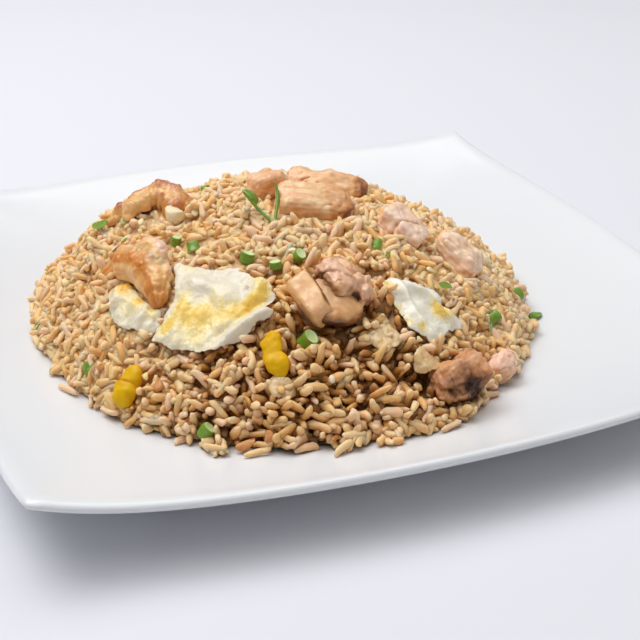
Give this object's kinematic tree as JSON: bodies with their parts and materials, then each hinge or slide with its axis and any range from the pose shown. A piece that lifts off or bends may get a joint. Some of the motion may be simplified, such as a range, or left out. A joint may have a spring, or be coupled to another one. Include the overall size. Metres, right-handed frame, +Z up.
{
  "type": "fried rice plate",
  "caption": "Fried rice heaped in a low dome on a square white coupe plate, with torn fried egg, diced chicken, curled prawns, yolk curds, onion and chives.",
  "frame": {"origin": "centre of the plate's foot, on the table", "axes": "+Z up, the plate's sides along X and Y, the heap's shown side towards -Y"},
  "size_m": [0.254, 0.254, 0.0658],
  "materials": {
    "porcelain": "glossy white glaze",
    "rice": "moist, lightly oiled grains",
    "egg_white": "moist set egg white with yolk in it",
    "yolk": "soft glossy set yolk",
    "chicken": "fried, moist, browned at the edges",
    "prawn": "moist, glossy, orange bands",
    "onion": "translucent, softened, oiled",
    "greens": "fresh cut, smooth"
  },
  "bodies": {
    "root": {"plate": "porcelain", "rice_mound": "rice", "chive": "greens", "prawn_front": "prawn", "prawn_rear": "prawn", "chicken_top": "chicken", "chicken_top_rear": "chicken", "chicken_top_left": "chicken", "chicken_centre": "chicken", "chicken_right_upper": "chicken", "chicken_right_lower": "chicken", "chicken_front": "chicken", "chicken_front_end": "chicken", "egg_large": "egg_white", "egg_right": "egg_white", "egg_left": "egg_white", "egg_scrap_top": "egg_white", "egg_scrap_right": "egg_white", "yolk_curd_front": "yolk", "yolk_curd_left": "yolk", "onion_front": "onion", "onion_low": "onion", "onion_right": "onion"}
  },
  "joints": []
}
